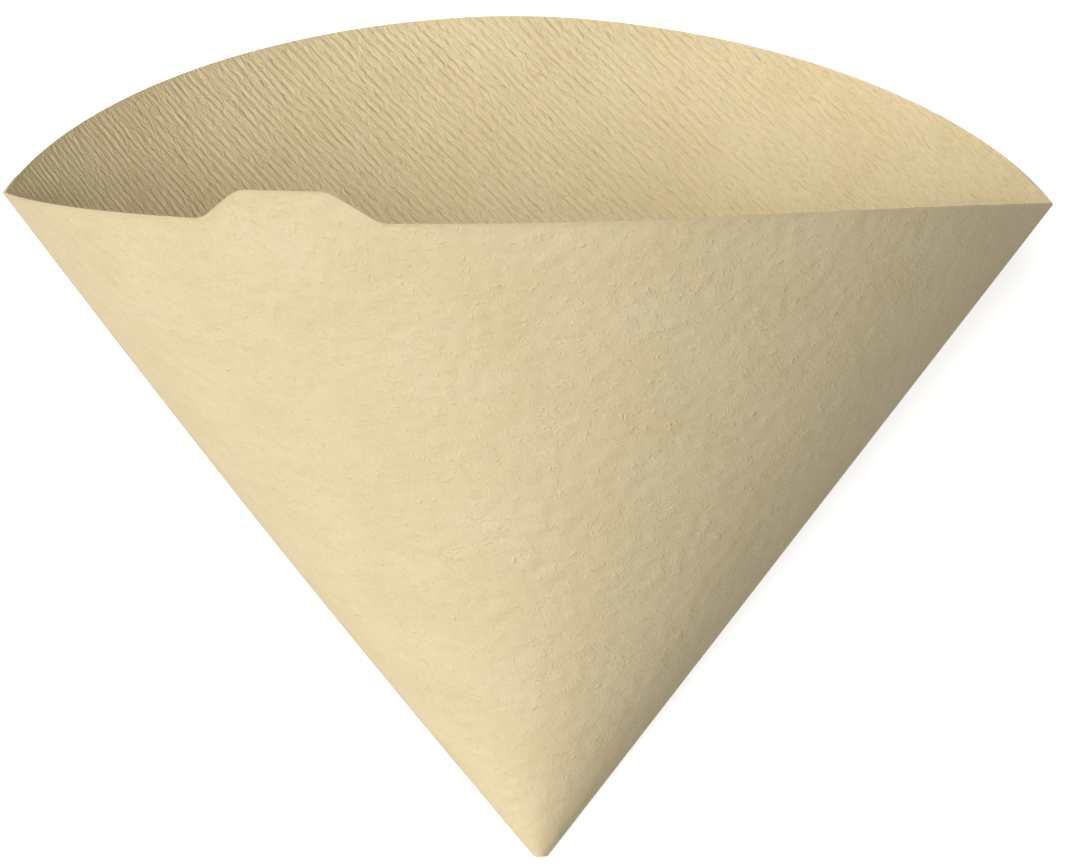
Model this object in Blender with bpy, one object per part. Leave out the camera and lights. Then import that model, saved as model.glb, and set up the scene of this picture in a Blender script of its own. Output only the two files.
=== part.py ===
"""Paper cone filter: one sheet, folded along its right side, crimped along its left side and
opened, lying on its back wall. Metres, +Z up, the tip toward -Y and the mouth toward +Y."""

from math import asin, atan2, ceil, inf, pi, radians, sin

import bmesh
import bpy
from mathutils import Quaternion, Vector

# Sheet, as it lies folded flat: a quarter disc of two plies
SLANT = 0.117
SHEET_ANGLE = radians(90)
PAPER = 0.00022
RIM_SHIFT = 0.0030

# Opening: the angle between the side folds, the flat that it lies on with its hardly seen arch,
# and the front wall's ease
MOUTH_SHARE = 0.803
REST_ANGLE = radians(9)
REST_ARCH_SHARE = 0.05
TIGHT_SHARE = 0.6
EASE_SHARE = 0.8

# Tip: pressed blunt, and closed a little way up inside
TIP_CUT = 0.0014
TIP_CLOSED = 0.0012

# Pull tab on the front rim, placed along the rim from the seam to the middle of its top
TAB_FROM_SEAM = 0.0593
TAB_TOP = 0.0120
TAB_LEFT_RAMP = 0.0072
TAB_RIGHT_RAMP = 0.0055
TAB_HEIGHT = 0.0052
TAB_ROUND_SHARE = 0.2

# Crimped seam of two plies, folded back and pressed against the back wall's outer side
SEAM_WIDTH = 0.0055
SEAM_START = 0.0035
SEAM_FULL = 0.030
SEAM_GAP = 0.00012
SEAM_BOW = 0.0008
SEAM_BOW_ANGLE = radians(25)
CRIMP_PITCH = 0.0015
CRIMP_DEPTH = 0.00012
SEAM_ROW_SHARES = (0.22, 0.40, 0.70, 1)

# Fineness of the surface
RULING_STEP = radians(2.5)
RAMP_STEPS = 8
LEVEL_SHARES = (0, 0.02, 0.06, 0.14, 0.28, 0.46, 0.64, 0.82, 1)
SEAM_LEVELS = 4
BEND_LIMIT = 2.5
SOLVER_STEPS = 60
SMOOTH_ANGLE = radians(22)

PAPER_COLOUR = (0.71, 0.60, 0.40, 1)
PAPER_ROUGHNESS = 0.85

LEFT_FOLD = -SHEET_ANGLE / 2
RIGHT_FOLD = SHEET_ANGLE / 2


def clear_scene():
    for obj in list(bpy.data.objects):
        bpy.data.objects.remove(obj, do_unlink=True)


def ruling(start, stretches, along):
    """Direction from the tip and heading across the wall, this sheet angle past the start.
    Each stretch is a sheet angle and how tightly the paper is rolled over it."""
    direction, heading = start
    for angle, bend in stretches:
        step = min(angle, along)
        axis = direction.cross(heading) - bend * direction
        turn = Quaternion(axis, axis.length * step)
        direction, heading = turn @ direction, turn @ heading
        along -= step
    return direction, heading


def solve_bend(spread, target):
    """The bend that brings the spread of a wall down to the target."""
    low, high = 0.0, BEND_LIMIT
    for _ in range(SOLVER_STEPS):
        middle = (low + high) / 2
        if spread(middle) > target:
            low = middle
        else:
            high = middle
    return (low + high) / 2


def back_wall():
    """Start and stretches of the back wall, left to right: rolled, flat to lie on, rolled.
    The flat arches up by a hair, so that the sheet stands on its two edges and its tip."""
    side_angle = (SHEET_ANGLE - REST_ANGLE) / 2
    middle = (Vector((0, 1, 0)), Vector((1, 0, 0)))

    def right_end(bend):
        half = ((REST_ANGLE / 2, -REST_ARCH_SHARE), (side_angle, bend))
        return ruling(middle, half, SHEET_ANGLE / 2)

    half_mouth = SHEET_ANGLE * MOUTH_SHARE / 2
    bend = solve_bend(lambda bend: right_end(bend)[0].x, sin(half_mouth))
    direction, heading = right_end(bend)
    direction.x = -direction.x
    heading.yz = -heading.yz
    rest = (REST_ANGLE, -REST_ARCH_SHARE)
    return (direction, heading), ((side_angle, bend), rest, (side_angle, bend))


def front_wall(right, left):
    """Start and stretches of the front wall, right to left, bulging up between the folds."""
    start = (right, right.orthogonal().normalized())

    def stretches(bend):
        eased = SHEET_ANGLE * (1 - TIGHT_SHARE)
        return (eased, bend * EASE_SHARE), (SHEET_ANGLE - eased, bend)

    def end(bend):
        return ruling(start, stretches(bend), SHEET_ANGLE)[0]

    bend = solve_bend(lambda bend: right.angle(end(bend)), right.angle(left))
    found = end(bend) - right * end(bend).dot(right)
    wanted = left - right * left.dot(right)
    turn = atan2(right.dot(found.cross(wanted)), found.dot(wanted))
    return (right, Quaternion(right, turn) @ start[1]), stretches(bend)


def mitre(first, second):
    """Offset from the middle of the paper to its outer face, where two walls meet."""
    return (first + second) * (PAPER / 2) / (1 + first.dot(second))


def rim_radius(turn):
    """Tip to rim, this sheet angle right of a wall's middle: the arc's centre is shifted left."""
    return SLANT - RIM_SHIFT * sin(turn)


def rounded_ramp(rise):
    """Zero, then a straight rise from zero, rounded where the two meet."""
    if abs(rise) < TAB_ROUND_SHARE:
        return (rise + TAB_ROUND_SHARE) ** 2 / (4 * TAB_ROUND_SHARE)
    return max(rise, 0)


def tab_height(turn):
    """Height of the tab over the rim: a straight ramp each side, rounded at foot and shoulder."""
    along = (turn - LEFT_FOLD) * SLANT - TAB_FROM_SEAM
    ramp = TAB_LEFT_RAMP if along < 0 else TAB_RIGHT_RAMP
    rise = (TAB_TOP / 2 + ramp - abs(along)) / ramp
    return TAB_HEIGHT * (rounded_ramp(rise) - rounded_ramp(rise - 1))


def front_radius(turn):
    return rim_radius(turn) + tab_height(turn)


def even_turns():
    """Sheet angles of the rulings inside a wall, left to right, without its two side folds."""
    count = ceil(SHEET_ANGLE / RULING_STEP)
    return [LEFT_FOLD + SHEET_ANGLE * step / count for step in range(1, count)]


def tab_turns():
    """Sheet angles of the rulings that end on the tab's two ramps."""
    turns = []
    for side, ramp in ((-1, TAB_LEFT_RAMP), (1, TAB_RIGHT_RAMP)):
        for step in range(RAMP_STEPS + 1):
            share = (1 + 2 * TAB_ROUND_SHARE) * step / RAMP_STEPS - TAB_ROUND_SHARE
            along = TAB_FROM_SEAM + side * (TAB_TOP / 2 + ramp * share)
            turns.append(LEFT_FOLD + along / SLANT)
    return turns


def front_turns():
    """Even sheet angles with the tab's own ones among them, none too close to another."""
    own = tab_turns()
    nearest = RULING_STEP / 3
    even = [turn for turn in even_turns() if min(abs(turn - other) for other in own) > nearest]
    return sorted(even + own)


def seam_reaches():
    """Distances from the tip of the levels along the seam's root."""
    far = rim_radius(LEFT_FOLD)
    shares = [step / SEAM_LEVELS for step in range(SEAM_LEVELS)]
    widening = [SEAM_START + (SEAM_FULL - SEAM_START) * share for share in shares]
    full = [SEAM_FULL + (far - SEAM_FULL) * share for share in (*shares, 1)]
    return widening + full


class FoldedSheet:
    """The sheet as one closed mesh of rows of vertices that run from the tip to the rim."""

    def __init__(self):
        self.bm = bmesh.new()
        self.back = back_wall()
        self.left, self.inward = self.back[0]
        self.right, right_heading = ruling(*self.back, SHEET_ANGLE)
        self.front = front_wall(self.right, self.left)
        left_heading = ruling(*self.front, SHEET_ANGLE)[1]
        self.back_normal = self.left.cross(self.inward)
        self.front_normal = self.left.cross(left_heading)
        self.left_mitre = mitre(self.back_normal, self.front_normal)
        right_normals = [self.right.cross(side) for side in (right_heading, self.front[0][1])]
        self.right_mitre = mitre(*right_normals)
        self.bow_direction = self.left_mitre.normalized()
        self.seam_inset = self.find_seam_inset()

    def find_seam_inset(self):
        """From the fold to the seam's root, so that its outer ply runs on into the front wall."""
        likeness = self.front_normal.dot(self.back_normal)
        return (PAPER / 2 * (1 - likeness) - 2 * PAPER * likeness) / self.front_normal.dot(self.inward)

    def point(self, direction, turn, reach, offset):
        """A point on a ruling, with the slight outward bow that the stiff seam gives its side."""
        closeness = max(0, 1 - (turn - LEFT_FOLD) / SEAM_BOW_ANGLE)
        bow = SEAM_BOW * sin(pi * reach / rim_radius(turn)) * sin(closeness * pi / 2) ** 2
        return direction * reach + offset + self.bow_direction * bow

    def row(self, direction, turn, offset, near, far):
        reaches = [near + (far - near) * share for share in LEVEL_SHARES]
        return [self.bm.verts.new(self.point(direction, turn, reach, offset)) for reach in reaches]

    def wall_rows(self, wall, turns, side, near, radius):
        """Rows of one face of a wall; side is 1 outside and -1 inside."""
        rows = []
        for turn in turns:
            along = turn - LEFT_FOLD if wall is self.back else RIGHT_FOLD - turn
            direction, heading = ruling(*wall, along)
            offset = direction.cross(heading) * (side * PAPER / 2)
            rows.append(self.row(direction, turn, offset, near, radius(turn)))
        return rows

    def face_rows(self, side, near):
        """Rows of one face of the sheet, from the seam along the back, the fold and the front."""
        back = self.wall_rows(self.back, even_turns(), side, near, rim_radius)
        fold_offset = self.right_mitre * side
        fold = self.row(self.right, RIGHT_FOLD, fold_offset, near, rim_radius(RIGHT_FOLD))
        front = self.wall_rows(self.front, front_turns()[::-1], side, near, front_radius)
        return [*back, fold, *front]

    def seam_point(self, reach, width_share, depth_share, lift=0.0):
        """A point of the seam, which follows the back wall and grows to its full size."""
        size = min(1, reach / SEAM_FULL)
        angle = asin((self.seam_inset + SEAM_WIDTH * width_share) * size / reach)
        turn = LEFT_FOLD + angle
        direction, heading = ruling(*self.back, angle)
        normal = direction.cross(heading)
        clear = min(1, width_share / SEAM_ROW_SHARES[0])
        base = self.left_mitre.lerp(normal * (PAPER / 2), max(size, clear))
        depth = normal * ((SEAM_GAP * clear + 2 * PAPER * depth_share + lift) * size)
        flush = reach * rim_radius(turn) / rim_radius(LEFT_FOLD)
        return self.point(direction, turn, flush, base + depth)

    def seam_rows(self, depth_share):
        """The root row and the crimped rows of one face of the seam."""
        length = rim_radius(LEFT_FOLD) - SEAM_START
        count = 2 * ceil(length / CRIMP_PITCH)
        root = [self.seam_point(reach, 0, depth_share) for reach in seam_reaches()]
        rows = [root]
        reaches = [SEAM_START + length * step / count for step in range(count + 1)]
        for width_share in SEAM_ROW_SHARES:
            depth = CRIMP_DEPTH if width_share > SEAM_ROW_SHARES[0] else 0
            lifts = [depth * (step % 2 - 1 / 2) for step in range(count + 1)]
            rows.append([self.seam_point(reach, width_share, depth_share, lift)
                         for reach, lift in zip(reaches, lifts)])
        return [[self.bm.verts.new(point) for point in row] for row in rows]

    def join_equal(self, first, second):
        """Quads between two rows of one wall."""
        for low, high in zip(range(len(first)), range(1, len(first))):
            self.bm.faces.new((first[low], second[low], second[high], first[high]))

    def join_unequal(self, first, second):
        """Triangles between two rows whose vertices lie at different distances from the tip."""
        i = j = 0
        while i + j < len(first) + len(second) - 2:
            next_first = first[i + 1].co.length if i + 1 < len(first) else inf
            next_second = second[j + 1].co.length if j + 1 < len(second) else inf
            if next_first < next_second:
                self.bm.faces.new((first[i], second[j], first[i + 1]))
                i += 1
            else:
                self.bm.faces.new((first[i], second[j], second[j + 1]))
                j += 1

    def join_walls(self):
        for rows in (self.outside, self.inside):
            for first, second in zip(rows, rows[1:]):
                self.join_equal(first, second)
        self.join_equal(self.inside[-1], self.inside[0])

    def join_seam(self):
        """The seam between the two walls' first rows, both its faces, its edge and its ends."""
        reaches = (TIP_CUT, (TIP_CUT + SEAM_START) / 2)
        self.tip = [self.bm.verts.new(self.left * reach + self.left_mitre) for reach in reaches]
        under, over = self.seam_rows(0), self.seam_rows(1)
        self.join_unequal(self.tip + under[0], self.outside[0])
        self.join_unequal(self.outside[-1], self.tip + over[0])
        for rows in (under, over):
            for first, second in zip(rows, rows[1:]):
                self.join_unequal(first, second)
        self.join_equal(under[-1], over[-1])
        for end in (0, -1):
            self.join_equal([row[end] for row in under], [row[end] for row in over])
        self.bm.faces.new((self.tip[-1], under[0][0], over[0][0]))
        self.seam_ends = [under[0][-1], over[0][-1]]

    def close_rim(self):
        """The cut edge of the paper, all round the mouth."""
        outer = [row[-1] for row in self.outside]
        inner = [row[-1] for row in self.inside]
        self.join_equal(outer, inner[:-1])
        under, over = self.seam_ends
        self.bm.faces.new((under, outer[0], inner[0], inner[-1]))
        self.bm.faces.new((outer[-1], over, inner[-1], inner[-2]))
        self.bm.faces.new((over, under, inner[-1]))

    def close_tip(self, ring):
        """A fan from a ring of vertices round the tip to their middle."""
        middle = self.bm.verts.new(sum((vert.co for vert in ring), Vector()) / len(ring))
        for vert, after in zip(ring, ring[1:] + ring[:1]):
            self.bm.faces.new((vert, after, middle))

    def rest_on_floor(self):
        """Puts the origin under the middle of the sheet's box, on the floor."""
        spans = [sorted(vert.co[axis] for vert in self.bm.verts) for axis in range(3)]
        (low_x, *_, high_x), (low_y, *_, high_y), (low_z, *_) = spans
        shift = Vector((-(low_x + high_x) / 2, -(low_y + high_y) / 2, -low_z))
        bmesh.ops.translate(self.bm, verts=self.bm.verts[:], vec=shift)

    def build(self):
        near_inside = TIP_CUT + TIP_CLOSED
        left_radius = rim_radius(LEFT_FOLD)
        left = self.row(self.left, LEFT_FOLD, -self.left_mitre, near_inside, left_radius)
        self.outside = self.face_rows(1, TIP_CUT)
        self.inside = [*self.face_rows(-1, near_inside), left]
        self.join_walls()
        self.join_seam()
        self.close_rim()
        self.close_tip([self.tip[0]] + [row[0] for row in self.outside])
        self.close_tip([row[0] for row in self.inside])
        bmesh.ops.recalc_face_normals(self.bm, faces=self.bm.faces[:])
        self.rest_on_floor()
        return self.bm


def paper_material():
    material = bpy.data.materials.new("natural_filter_paper")
    material.use_nodes = True
    shader = material.node_tree.nodes["Principled BSDF"]
    shader.inputs["Base Color"].default_value = PAPER_COLOUR
    shader.inputs["Roughness"].default_value = PAPER_ROUGHNESS
    shader.inputs["Metallic"].default_value = 0
    return material


def main():
    clear_scene()
    mesh = bpy.data.meshes.new("paper_filter")
    bm = FoldedSheet().build()
    bm.to_mesh(mesh)
    bm.free()
    mesh.shade_smooth()
    mesh.set_sharp_from_angle(angle=SMOOTH_ANGLE)
    mesh.materials.append(paper_material())
    bpy.context.collection.objects.link(bpy.data.objects.new("paper_filter", mesh))


main()
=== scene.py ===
from math import asin, atan2, ceil, cos, hypot, inf, pi, radians, sin

import bmesh
import bpy
from mathutils import Matrix, Quaternion, Vector
from mathutils.geometry import delaunay_2d_cdt
from mathutils.noise import noise


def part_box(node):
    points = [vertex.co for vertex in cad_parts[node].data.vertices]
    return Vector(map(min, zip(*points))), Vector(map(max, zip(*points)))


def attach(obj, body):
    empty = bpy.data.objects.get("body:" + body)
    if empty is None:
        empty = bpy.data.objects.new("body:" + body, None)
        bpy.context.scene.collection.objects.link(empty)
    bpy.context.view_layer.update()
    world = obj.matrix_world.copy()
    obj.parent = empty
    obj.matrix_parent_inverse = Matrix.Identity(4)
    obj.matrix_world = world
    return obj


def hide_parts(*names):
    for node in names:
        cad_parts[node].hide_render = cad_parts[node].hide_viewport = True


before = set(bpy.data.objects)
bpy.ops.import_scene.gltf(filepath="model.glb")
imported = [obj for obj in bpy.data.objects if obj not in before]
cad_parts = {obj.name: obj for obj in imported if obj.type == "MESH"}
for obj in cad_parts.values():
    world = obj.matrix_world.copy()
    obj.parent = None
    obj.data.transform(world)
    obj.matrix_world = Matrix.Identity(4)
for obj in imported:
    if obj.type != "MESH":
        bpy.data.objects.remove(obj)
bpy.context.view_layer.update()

# Filter paper: a half disc of unbleached wood pulp, creped off the drying cylinder, so that its
# ribs all run along its straight edge. It is folded in half at the right, its two straight edges
# are crimped together at the left, and it is opened into a cone and laid on its back wall.
SLANT = 0.117
SHEET_ANGLE = radians(90)
PAPER = 0.00022
RIM_SHIFT = 0.0030

MOUTH_SHARE = 0.803
REST_ANGLE = radians(9)
REST_ARCH_SHARE = 0.05
TIGHT_SHARE = 0.6
EASE_SHARE = 0.8
BEND_LIMIT = 2.5
SOLVER_STEPS = 60

TIP_CUT = 0.0014
TIP_CLOSED = 0.0012

TAB_FROM_SEAM = 0.0593
TAB_TOP = 0.0120
TAB_LEFT_RAMP = 0.0072
TAB_RIGHT_RAMP = 0.0055
TAB_HEIGHT = 0.0052
TAB_ROUND_SHARE = 0.2

SEAM_WIDTH = 0.0055
SEAM_START = 0.0035
SEAM_FULL = 0.030
SEAM_GAP = 0.00012
SEAM_CLEAR_SHARE = 0.22
SEAM_BOW = 0.0008
SEAM_BOW_ANGLE = radians(25)

LEFT_FOLD = -SHEET_ANGLE / 2
RIGHT_FOLD = SHEET_ANGLE / 2


def ruling(start, stretches, along):
    """Direction from the tip and heading across the wall, this sheet angle past the start."""
    direction, heading = start
    for angle, bend in stretches:
        step = min(angle, along)
        axis = direction.cross(heading) - bend * direction
        turn = Quaternion(axis, axis.length * step)
        direction, heading = turn @ direction, turn @ heading
        along -= step
    return direction, heading


def solve_bend(spread, target):
    """The bend that brings the spread of a wall down to the target."""
    low, high = 0.0, BEND_LIMIT
    for _ in range(SOLVER_STEPS):
        middle = (low + high) / 2
        if spread(middle) > target:
            low = middle
        else:
            high = middle
    return (low + high) / 2


def roll_back_wall():
    """The wall underneath, from the left fold: rolled, all but flat where it lies, rolled."""
    side_angle = (SHEET_ANGLE - REST_ANGLE) / 2
    middle = (Vector((0, 1, 0)), Vector((1, 0, 0)))

    def right_end(bend):
        half = ((REST_ANGLE / 2, -REST_ARCH_SHARE), (side_angle, bend))
        return ruling(middle, half, SHEET_ANGLE / 2)

    half_mouth = SHEET_ANGLE * MOUTH_SHARE / 2
    bend = solve_bend(lambda bend: right_end(bend)[0].x, sin(half_mouth))
    direction, heading = right_end(bend)
    direction.x = -direction.x
    heading.yz = -heading.yz
    rest = (REST_ANGLE, -REST_ARCH_SHARE)
    return (direction, heading), ((side_angle, bend), rest, (side_angle, bend))


def roll_front_wall(right, left):
    """The wall on top, from the right fold, bulging up and rolled tighter towards the left."""
    start = (right, right.orthogonal().normalized())

    def stretches(bend):
        eased = SHEET_ANGLE * (1 - TIGHT_SHARE)
        return (eased, bend * EASE_SHARE), (SHEET_ANGLE - eased, bend)

    def end(bend):
        return ruling(start, stretches(bend), SHEET_ANGLE)[0]

    bend = solve_bend(lambda bend: right.angle(end(bend)), right.angle(left))
    found = end(bend) - right * end(bend).dot(right)
    wanted = left - right * left.dot(right)
    turn = atan2(right.dot(found.cross(wanted)), found.dot(wanted))
    return (right, Quaternion(right, turn) @ start[1]), stretches(bend)


def mitre(first, second):
    """Offset from the middle of the paper to its outer face, where two walls meet."""
    return (first + second) * (PAPER / 2) / (1 + first.dot(second))


def rim_radius(turn):
    return SLANT - RIM_SHIFT * sin(turn)


def rounded_ramp(rise):
    """Zero, then a straight rise from zero, rounded where the two meet."""
    if abs(rise) < TAB_ROUND_SHARE:
        return (rise + TAB_ROUND_SHARE) ** 2 / (4 * TAB_ROUND_SHARE)
    return max(rise, 0)


def front_radius(turn):
    """Tip to rim on the front wall, with the pull tab standing over the rim."""
    along = (turn - LEFT_FOLD) * SLANT - TAB_FROM_SEAM
    ramp = TAB_LEFT_RAMP if along < 0 else TAB_RIGHT_RAMP
    rise = (TAB_TOP / 2 + ramp - abs(along)) / ramp
    return rim_radius(turn) + TAB_HEIGHT * (rounded_ramp(rise) - rounded_ramp(rise - 1))


back = roll_back_wall()
left, inward = back[0]
right, right_heading = ruling(*back, SHEET_ANGLE)
front = roll_front_wall(right, left)
back_normal = left.cross(inward)
front_normal = left.cross(ruling(*front, SHEET_ANGLE)[1])
left_mitre = mitre(back_normal, front_normal)
right_mitre = mitre(right.cross(right_heading), right.cross(front[0][1]))

# Crepe: ribs across the machine's run, a millimetre apart, clear on the inner side of the paper,
# and pressed down to a mottle of short waves on its outer side. Places on the paper are measured
# on the half disc: x along its straight edge, y away from it, and every rib runs along x.
RIB_PITCH = 0.00109
RIB_LENGTH = 0.0018
RIB_WIDTH = 0.00060
RIB_DRIFT = 0.4
RIB_DRIFT_LENGTH = 0.008
RIB_DRIFT_WIDTH = 0.004
WAVE_SHARE = 0.5
INNER_DEPTH = 0.00012
MOTTLE_SIZE = 0.0019
MOTTLE_GAIN = 1.5
OUTER_DEPTH = 0.00007


def on_half_disc(wall, turn, reach):
    """x and y on the flat half disc of a place on a wall."""
    angle = turn - LEFT_FOLD if wall is back else pi - (turn - LEFT_FOLD)
    return reach * cos(angle), reach * sin(angle)


def rib_height(x, y):
    """Minus one in a furrow to one on a crest: ribs that wander, thicken and run out."""
    drift = noise(Vector((x / RIB_DRIFT_LENGTH, y / RIB_DRIFT_WIDTH, 1)))
    wave = sin(2 * pi * (y / RIB_PITCH + RIB_DRIFT * drift))
    strand = noise(Vector((x / RIB_LENGTH, y / RIB_WIDTH, 2)))
    return max(-1, min(1, WAVE_SHARE * wave + strand))


def mottle_height(x, y):
    """Minus one in a hollow to one on a bump, alike in all directions."""
    bump = noise(Vector((x / MOTTLE_SIZE, y / MOTTLE_SIZE, 3)))
    return max(-1, min(1, MOTTLE_GAIN * bump))


def furrow(wall, turn, reach, side):
    """How far the face lies below the paper's crests; side is 1 outside and -1 inside."""
    x, y = on_half_disc(wall, turn, reach)
    if side < 0:
        return INNER_DEPTH * (1 - rib_height(x, y)) / 2
    return OUTER_DEPTH * (1 - mottle_height(x, y)) / 2


# Mesh of the paper: its corners with their places on the sheet and their relief, and the faces
# between them with their wall and finish. Each zone of a face gives the corners' steps across the
# ribs and along them, and the shares of the slant that it lies between. The inside of the back
# wall is finest from DEEP_SHARE to the rim, where it shows behind the mouth.
CREASE_STEP = 0.0010
RIM_STEP = 0.00030
TIP_STEPS = 6
SLIVER = 1e-6
MERGE_REACH = 1e-7
DEEP_SHARE = 0.70
PAST_TAB_SHARE = 1.1
BACK_INNER = ((0.00022, 0.0012, DEEP_SHARE, PAST_TAB_SHARE), (0.00030, 0.0024, 0, DEEP_SHARE))
FRONT_INNER = ((0.00030, 0.0025, 0, PAST_TAB_SHARE),)
FRONT_OUTER = ((0.00048, 0.0008, 0, PAST_TAB_SHARE),)
BACK_OUTER = ((0.00070, 0.0010, 0, PAST_TAB_SHARE),)
corners = []
places = []
reliefs = []
faces = []


def add_corner(point, turn, reach, relief=0.0):
    corners.append(point)
    places.append((turn, reach))
    reliefs.append(relief)
    return len(corners) - 1


def add_face(wall, *used, finish="outside"):
    faces.append((wall, used, finish))


def bow(turn, reach):
    """The slight outward bow that the stiff seam gives its side of the cone."""
    closeness = max(0, 1 - (turn - LEFT_FOLD) / SEAM_BOW_ANGLE)
    height = SEAM_BOW * sin(pi * reach / rim_radius(turn)) * sin(closeness * pi / 2) ** 2
    return left_mitre.normalized() * height


def paper_corner(wall, turn, reach, side, creped=True):
    """A corner on a wall's face, which is creped but for its rim."""
    along = turn - LEFT_FOLD if wall is back else RIGHT_FOLD - turn
    direction, heading = ruling(*wall, along)
    depth = furrow(wall, turn, reach, side) if creped else 0
    offset = side * (PAPER / 2 - depth)
    point = direction * reach + direction.cross(heading) * offset + bow(turn, reach)
    return add_corner(point, turn, reach, -depth)


def steps_between(start, end, step):
    count = max(1, ceil(abs(end - start) / step))
    return [start + (end - start) * number / count for number in range(count + 1)]


def crease_row(direction, turn, offset, near):
    """Corners along a fold from the tip to the rim."""
    return [add_corner(direction * reach + offset + bow(turn, reach), turn, reach)
            for reach in steps_between(near, rim_radius(turn), CREASE_STEP)]


def rim_row(wall, side, radius):
    """Corners along the rim of a wall, left to right, without its two ends."""
    turns = steps_between(LEFT_FOLD, RIGHT_FOLD, RIM_STEP / SLANT)[1:-1]
    return [paper_corner(wall, turn, radius(turn), side, creped=False) for turn in turns]


def tip_row(wall, side, near):
    """Corners round the tip of a wall, left to right, without its two ends."""
    turns = steps_between(LEFT_FOLD, RIGHT_FOLD, SHEET_ANGLE / TIP_STEPS)[1:-1]
    return [paper_corner(wall, turn, near, side) for turn in turns]


def rib_corners(wall, side, near, radius, zones):
    """Corners inside a wall, in rows along the ribs."""
    found = []
    for across, along, low_share, high_share in zones:
        for row in range(1, ceil(SLANT / across)):
            y = row * across
            shift = along * (row % 2) / 2
            for column in range(ceil(PAST_TAB_SHARE * SLANT / along)):
                x = column * along + shift
                reach, angle = hypot(x, y), atan2(y, x)
                turn = LEFT_FOLD + angle
                margin = hypot(cos(angle) * along, sin(angle) * across) / 2
                edges = (y - across / 2, reach * sin(SHEET_ANGLE - angle) - along / 2,
                         reach - near - margin, radius(turn) - margin - reach,
                         reach - low_share * SLANT, high_share * SLANT - reach)
                if min(edges) > 0:
                    found.append(paper_corner(wall, turn, reach, side))
    return found


def fill_wall(wall, side, near, radius, outline, zones):
    """Triangles over one face of a wall, long along the ribs and narrow across them."""
    used = outline + rib_corners(wall, side, near, radius, zones)
    across, along = zones[0][:2]
    flat = [on_half_disc(wall, *places[corner]) for corner in used]
    stretched = [Vector((x / along, y / across)) for x, y in flat]
    rim_to_tip = [list(range(len(outline)))]
    points, _, triangles, origins, _, _ = delaunay_2d_cdt(
        stretched, [], rim_to_tip, 1, MERGE_REACH, True)
    if len(points) != len(used):
        raise ValueError("the outline of a wall crosses itself")
    for triangle in triangles:
        own = [origins[corner][0] for corner in triangle]
        x, y = [sum(flat[corner][axis] for corner in own) / 3 for axis in (0, 1)]
        reach, turn = hypot(x, y), LEFT_FOLD + atan2(y, abs(x))
        if near < reach < radius(turn) and abs(turn) < SHEET_ANGLE / 2 - SLIVER:
            add_face(wall, *[used[corner] for corner in own],
                     finish="outside" if side > 0 else "inside")


def join_rows(wall, first, second, finish="outside"):
    """Quads between two rows with as many corners each."""
    for low, high in zip(range(len(first)), range(1, len(first))):
        add_face(wall, first[low], second[low], second[high], first[high], finish=finish)


def join_by_reach(wall, first, second):
    """Triangles between two rows whose corners lie at different distances from the tip."""
    i = j = 0
    while i + j < len(first) + len(second) - 2:
        next_first = places[first[i + 1]][1] if i + 1 < len(first) else inf
        next_second = places[second[j + 1]][1] if j + 1 < len(second) else inf
        if next_first < next_second:
            add_face(wall, first[i], second[j], first[i + 1])
            i += 1
        else:
            add_face(wall, first[i], second[j], second[j + 1])
            j += 1


# Crimped seam: the two straight edges, pressed together by toothed wheels and folded back against
# the outer side of the back wall, widening from the tip. The shares across its width say where its
# rows of corners run and how much of the crimp each row has.
CRIMP_PITCH = 0.0015
CRIMP_DEPTH = 0.00012
CRIMP_STEPS = 6
SEAM_SHARES = (0.11, 0.22, 0.40, 0.60, 0.80, 1)
CRIMP_SHARES = (0, 0, 1, 1, 1, 1)
PLY_GAP = 0.00012
likeness = front_normal.dot(back_normal)
seam_inset = (PAPER / 2 * (1 - likeness) - 2 * PAPER * likeness) / front_normal.dot(inward)


def seam_corner(reach, width_share, depth_share, lift=0.0):
    """A corner of the seam, which follows the back wall and grows to its full size."""
    size = min(1, reach / SEAM_FULL)
    angle = asin((seam_inset + SEAM_WIDTH * width_share) * size / reach)
    turn = LEFT_FOLD + angle
    direction, heading = ruling(*back, angle)
    normal = direction.cross(heading)
    clear = min(1, width_share / SEAM_CLEAR_SHARE)
    base = left_mitre.lerp(normal * (PAPER / 2), max(size, clear))
    depth = normal * ((SEAM_GAP * clear + 2 * PAPER * depth_share + lift) * size)
    flush = reach * rim_radius(turn) / rim_radius(LEFT_FOLD)
    point = direction * flush + base + depth + bow(turn, flush)
    return add_corner(point, LEFT_FOLD - size * SEAM_WIDTH * width_share / SLANT, reach)


def crimped_rows(depth_share):
    """Rows of one face of the seam, with the ribs that the toothed wheels leave across it."""
    reaches = steps_between(SEAM_START, rim_radius(LEFT_FOLD), CRIMP_PITCH / CRIMP_STEPS)
    rows = []
    for width_share, crimp_share in zip(SEAM_SHARES, CRIMP_SHARES):
        wave = [sin(2 * pi * reach / CRIMP_PITCH) / 2 for reach in reaches]
        rows.append([seam_corner(reach, width_share, depth_share, CRIMP_DEPTH * crimp_share * lift)
                     for reach, lift in zip(reaches, wave)])
    return rows


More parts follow.
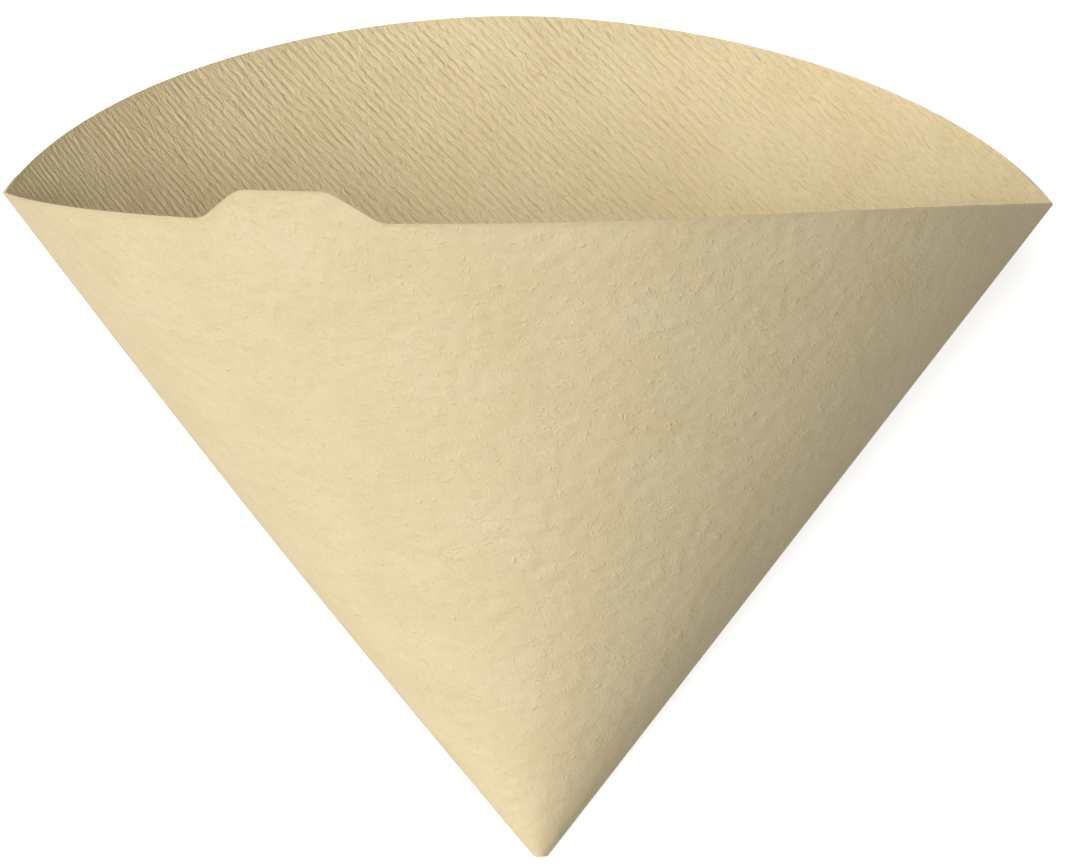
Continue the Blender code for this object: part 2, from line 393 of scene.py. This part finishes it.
def build_seam():
    """Both faces of the seam, the groove between its plies and its two ends."""
    far = rim_radius(LEFT_FOLD)
    before = steps_between(TIP_CUT, SEAM_START, CREASE_STEP)[:-1]
    shared = [add_corner(left * reach + left_mitre + bow(LEFT_FOLD, reach), LEFT_FOLD, reach)
              for reach in before]
    roots = []
    for depth_share in (0, 1):
        roots.append([seam_corner(reach, 0, depth_share)
                      for reach in steps_between(SEAM_START, far, CREASE_STEP)])
    under, over = [[root, *crimped_rows(share)] for root, share in zip(roots, (0, 1))]
    for rows in (under, over):
        join_by_reach(back, rows[0], rows[1])
        for first, second in zip(rows[1:], rows[2:]):
            join_rows(back, first, second)
    groove = [seam_corner(places[corner][1], 1 - PLY_GAP / SEAM_WIDTH, 1 / 2)
              for corner in under[-1]]
    join_rows(back, under[-1], groove, "edge")
    join_rows(back, groove, over[-1], "edge")
    for end in (0, -1):
        low, high = [row[end] for row in under], [row[end] for row in over]
        join_rows(back, low, high, "edge")
        add_face(back, low[-1], groove[end], high[-1], finish="edge")
    add_face(back, shared[-1], roots[0][0], roots[1][0])
    return shared + roots[0], shared + roots[1]


def build_walls():
    """The four faces of the two walls, their cut rim, the seam, and the closed tip."""
    near_inside = TIP_CUT + TIP_CLOSED
    under, over = build_seam()
    inner_left = crease_row(left, LEFT_FOLD, -left_mitre, near_inside)
    outer_right = crease_row(right, RIGHT_FOLD, right_mitre, TIP_CUT)
    inner_right = crease_row(right, RIGHT_FOLD, -right_mitre, near_inside)
    rims, tips = {}, {}
    for wall, side, near, radius, first, last, zones in (
        (back, 1, TIP_CUT, rim_radius, under, outer_right, BACK_OUTER),
        (front, 1, TIP_CUT, front_radius, over, outer_right, FRONT_OUTER),
        (back, -1, near_inside, rim_radius, inner_left, inner_right, BACK_INNER),
        (front, -1, near_inside, front_radius, inner_left, inner_right, FRONT_INNER),
    ):
        rim, tip = rim_row(wall, side, radius), tip_row(wall, side, near)
        fill_wall(wall, side, near, radius, first + rim + last[::-1] + tip[::-1], zones)
        rims[wall is back, side] = [first[-1], *rim, last[-1]]
        tips[wall is back, side] = [first[0], *tip, last[0]]
    for wall in (back, front):
        join_rows(wall, rims[wall is back, 1], rims[wall is back, -1], "edge")
    add_face(back, over[-1], under[-1], inner_left[-1], finish="edge")
    for side in (1, -1):
        ring = tips[True, side] + tips[False, side][-2:0:-1]
        middle = sum((corners[corner] for corner in ring), Vector()) / len(ring)
        centre = add_corner(middle, 0, 0)
        for corner, after in zip(ring, ring[1:] + ring[:1]):
            add_face(back, corner, after, centre, finish="outside" if side > 0 else "inside")


build_walls()


def settle(points):
    """Where the tip goes, so that the sheet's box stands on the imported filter's place."""
    low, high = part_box("paper_filter")
    spans = [(min(point[axis] for point in points), max(point[axis] for point in points))
             for axis in range(3)]
    shift = [(low[axis] + high[axis] - sum(spans[axis])) / 2 for axis in (0, 1)]
    return Vector((*shift, low.z - spans[2][0]))


SHARP_ANGLE = radians(50)
apex = settle(corners)
paper_mesh = bpy.data.meshes.new("filter_paper")
paper_mesh.from_pydata([corner + apex for corner in corners], [], [face[1] for face in faces])
paper_mesh.attributes.new("relief", "FLOAT", "POINT").data.foreach_set("value", reliefs)
half_disc = paper_mesh.uv_layers.new(name="half_disc")
for polygon, (wall, used, finish) in zip(paper_mesh.polygons, faces):
    polygon.material_index = ("outside", "inside", "edge").index(finish)
    for loop, corner in zip(polygon.loop_indices, used):
        half_disc.uv[loop].vector = on_half_disc(wall, *places[corner])

shaped = bmesh.new()
shaped.from_mesh(paper_mesh)
bmesh.ops.recalc_face_normals(shaped, faces=shaped.faces[:])
shaped.to_mesh(paper_mesh)
shaped.free()
paper_mesh.shade_smooth()
paper_mesh.set_sharp_from_angle(angle=SHARP_ANGLE)
filter_paper = bpy.data.objects.new("filter_paper", paper_mesh)
bpy.context.scene.collection.objects.link(filter_paper)


def linear(colour):
    """An sRGB hex colour as linear red, green, blue and alpha."""
    shares = [int(colour[start:start + 2], 16) / 255 for start in (1, 3, 5)]
    return [share / 12.92 if share <= 0.04045 else ((share + 0.055) / 1.055) ** 2.4
            for share in shares] + [1]


def add_node(tree, kind, values=(), links=(), **settings):
    """A shader node with its settings, its sockets' own values and what is linked to them."""
    made = tree.nodes.new("ShaderNode" + kind)
    for name, setting in settings.items():
        setattr(made, name, setting)
    for socket, value in dict(values).items():
        made.inputs[socket].default_value = value
    for socket, output in dict(links).items():
        tree.links.new(output, made.inputs[socket])
    return made


def new_material(name):
    material = bpy.data.materials.new(name)
    material.use_nodes = True
    material.node_tree.nodes.clear()
    return material, material.node_tree


# Unbleached filter paper, dry creped: dull all over, warm straw colour, with a cloudy formation of
# a centimetre or so. Real crepe waves deeper than its sheet is thick, so shading adds to the
# modelled relief: strands along the ribs inside, short curls outside. Fibres, 0.03 mm thick and
# too fine to show, are drawn 0.25 mm thick. The cut edge is a shade paler.
PAPER_PALE = "#EFDDB5"
PAPER_DEEP = "#E5D1A1"
EDGE_PALE = "#F2E1BA"
EDGE_DEEP = "#E9D6A9"
PAPER_ROUGHNESS = 0.75
PAPER_IOR = 1.5
CLOUD_SIZE = 0.012
CLOUD_DETAIL = 3
SHADE_SPAN = (0.6, 1.4)
GRAIN_DETAIL = 2
GRAIN_DISTORTION = 1
FIBRE_LENGTH = 0.0010
FIBRE_WIDTH = 0.00025
FIBRE_HEIGHT = 0.00002
RELIEF_BOOST_INSIDE = 0.8
RELIEF_BOOST_OUTSIDE = 1.0
STRANDS = (0.0011, 0.00045)
STRAND_HEIGHT = 0.00034
CURLS = (0.0011, 0.00085, "RIDGED_MULTIFRACTAL")
CURL_HEIGHT = 0.00012


def stretched_noise(tree, place, length, width, kind="FBM"):
    """Noise on the half disc whose grains are this long along the ribs and this wide."""
    stretch = add_node(tree, "Mapping", {"Scale": (1 / length, 1 / width, 1)}, {"Vector": place})
    grain = {"Scale": 1, "Detail": GRAIN_DETAIL, "Distortion": GRAIN_DISTORTION}
    return add_node(tree, "TexNoise", grain, {"Vector": stretch.outputs["Vector"]},
                    noise_type=kind).outputs["Fac"]


def bumped(tree, height, distance, normal):
    """The normal after one more bump, on top of the one before it if there is one."""
    links = {"Height": height, "Normal": normal} if normal else {"Height": height}
    bump = add_node(tree, "Bump", {"Strength": 1, "Distance": distance}, links)
    return bump.outputs["Normal"]


def creped_filter_paper(name, pale, deep, boost, grain, grain_height):
    """Paper of two shades, with its relief's boost, and the size and height of its grain."""
    material, tree = new_material(name)
    place = add_node(tree, "UVMap", uv_map="half_disc").outputs["UV"]
    cloud = add_node(tree, "TexNoise", {"Scale": 1 / CLOUD_SIZE, "Detail": CLOUD_DETAIL},
                     {"Vector": place})
    fibres = stretched_noise(tree, place, FIBRE_LENGTH, FIBRE_WIDTH)
    blend = add_node(tree, "Math", links={0: cloud.outputs["Fac"], 1: fibres}, operation="ADD")
    share = add_node(tree, "MapRange", {"From Min": SHADE_SPAN[0], "From Max": SHADE_SPAN[1]},
                     {"Value": blend.outputs["Value"]})
    colour = add_node(tree, "Mix", {"A": linear(deep), "B": linear(pale)},
                      {"Factor": share.outputs["Result"]}, data_type="RGBA")
    relief = add_node(tree, "Attribute", attribute_name="relief").outputs["Fac"]
    normal = bumped(tree, relief, boost, None)
    normal = bumped(tree, stretched_noise(tree, place, *grain), grain_height, normal)
    normal = bumped(tree, fibres, FIBRE_HEIGHT, normal)
    shader = add_node(tree, "BsdfPrincipled", {"Roughness": PAPER_ROUGHNESS, "IOR": PAPER_IOR},
                      {"Base Color": colour.outputs["Result"], "Normal": normal})
    add_node(tree, "OutputMaterial", links={"Surface": shader.outputs["BSDF"]})
    return material


for material in (
    creped_filter_paper("creped_filter_paper_outside", PAPER_PALE, PAPER_DEEP,
                        RELIEF_BOOST_OUTSIDE, CURLS, CURL_HEIGHT),
    creped_filter_paper("creped_filter_paper_inside", PAPER_PALE, PAPER_DEEP,
                        RELIEF_BOOST_INSIDE, STRANDS, STRAND_HEIGHT),
    creped_filter_paper("cut_filter_paper_edge", EDGE_PALE, EDGE_DEEP, 0, CURLS, FIBRE_HEIGHT),
):
    paper_mesh.materials.append(material)
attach(filter_paper, "root")
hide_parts("paper_filter")

# Camera: a long lens, looking down on the paper as it lies, its tip towards the bottom of the
# picture. Its distance, direction and framing are measured from the sheet's tip.
DISTANCE_IN_SLANTS = 7
CAMERA_ELEVATION = radians(84.02)
CAMERA_AZIMUTH = radians(-24.89)
CAMERA_ROLL = radians(23.90)
IMAGE_SIZE = (1080, 866)
TIP_PIXEL = (540.7, 863.6)
SLANT_PIXELS = 857.2
SENSOR_WIDTH = 36

camera_distance = DISTANCE_IN_SLANTS * SLANT
pixels_per_metre = SLANT_PIXELS / SLANT
backward = Vector((sin(CAMERA_AZIMUTH) * cos(CAMERA_ELEVATION),
                   -cos(CAMERA_AZIMUTH) * cos(CAMERA_ELEVATION), sin(CAMERA_ELEVATION)))
sideways = Vector((cos(CAMERA_AZIMUTH), sin(CAMERA_AZIMUTH), 0))
rolled = Quaternion(backward, CAMERA_ROLL)
picture_right = rolled @ sideways
picture_up = rolled @ backward.cross(sideways)
camera_data = bpy.data.cameras.new("camera")
camera_data.sensor_width = SENSOR_WIDTH
camera_data.lens = SENSOR_WIDTH * pixels_per_metre * camera_distance / IMAGE_SIZE[0]
camera = bpy.data.objects.new("camera", camera_data)
bpy.context.scene.collection.objects.link(camera)
from_tip = (-picture_right * (TIP_PIXEL[0] - IMAGE_SIZE[0] / 2)
            + picture_up * (TIP_PIXEL[1] - IMAGE_SIZE[1] / 2)) / pixels_per_metre
facing = Matrix((picture_right, picture_up, backward)).transposed().to_4x4()
camera.matrix_world = Matrix.Translation(apex + from_tip + backward * camera_distance) @ facing
bpy.context.scene.camera = camera

# Table top: white card under the filter, which shows white to the camera but for the soft shadow,
# and lights the paper from below as pale card does.
FLOOR_SIZE = 4
CARD = "#E6E6E6"
CARD_GLOW = 0.7
bpy.ops.mesh.primitive_plane_add(size=FLOOR_SIZE)
table_top = bpy.context.object
table_top.name = "table_top"
card, card_tree = new_material("white_card")
lit = add_node(card_tree, "BsdfDiffuse", {"Color": linear(CARD)})
ray = add_node(card_tree, "LightPath")
glow = add_node(card_tree, "Emission", {"Color": (1, 1, 1, 1)},
                {"Strength": add_node(card_tree, "Math", {1: CARD_GLOW},
                                      {0: ray.outputs["Is Camera Ray"]},
                                      operation="MULTIPLY").outputs["Value"]})
both = add_node(card_tree, "AddShader", links={0: lit.outputs["BSDF"], 1: glow.outputs["Emission"]})
add_node(card_tree, "OutputMaterial", links={"Surface": both.outputs["Shader"]})
table_top.data.materials.append(card)

# Studio: a broad lamp almost overhead, and weaker ones from the front left and low at the left, as
# large soft boxes give, in a room whose white shows to the camera alone.
LAMP_ANGLE = radians(40)
OVERHEAD = Vector((-0.3, 0, 0.95)).normalized()
OVERHEAD_STRENGTH = 2.56
FRONT_LEFT = Vector((-0.6, -0.5, 0.6)).normalized()
FRONT_LEFT_STRENGTH = 0.72
LOW_LEFT = Vector((-0.9, 0, 0.45)).normalized()
LOW_LEFT_STRENGTH = 0.49


def add_lamp(name, direction, strength):
    data = bpy.data.lights.new(name, "SUN")
    data.energy = strength
    data.angle = LAMP_ANGLE
    lamp = bpy.data.objects.new(name, data)
    lamp.rotation_euler = direction.to_track_quat("Z", "Y").to_euler()
    bpy.context.scene.collection.objects.link(lamp)


add_lamp("overhead_lamp", OVERHEAD, OVERHEAD_STRENGTH)
add_lamp("front_left_lamp", FRONT_LEFT, FRONT_LEFT_STRENGTH)
add_lamp("low_left_lamp", LOW_LEFT, LOW_LEFT_STRENGTH)

world = bpy.data.worlds.new("white_room")
world.use_nodes = True
room_tree = world.node_tree
room_tree.nodes.clear()
seen = add_node(room_tree, "LightPath")
room = add_node(room_tree, "Background", {"Color": (1, 1, 1, 1)},
                {"Strength": seen.outputs["Is Camera Ray"]})
add_node(room_tree, "OutputWorld", links={"Surface": room.outputs["Background"]})
bpy.context.scene.world = world
bpy.context.scene.view_settings.view_transform = "Standard"
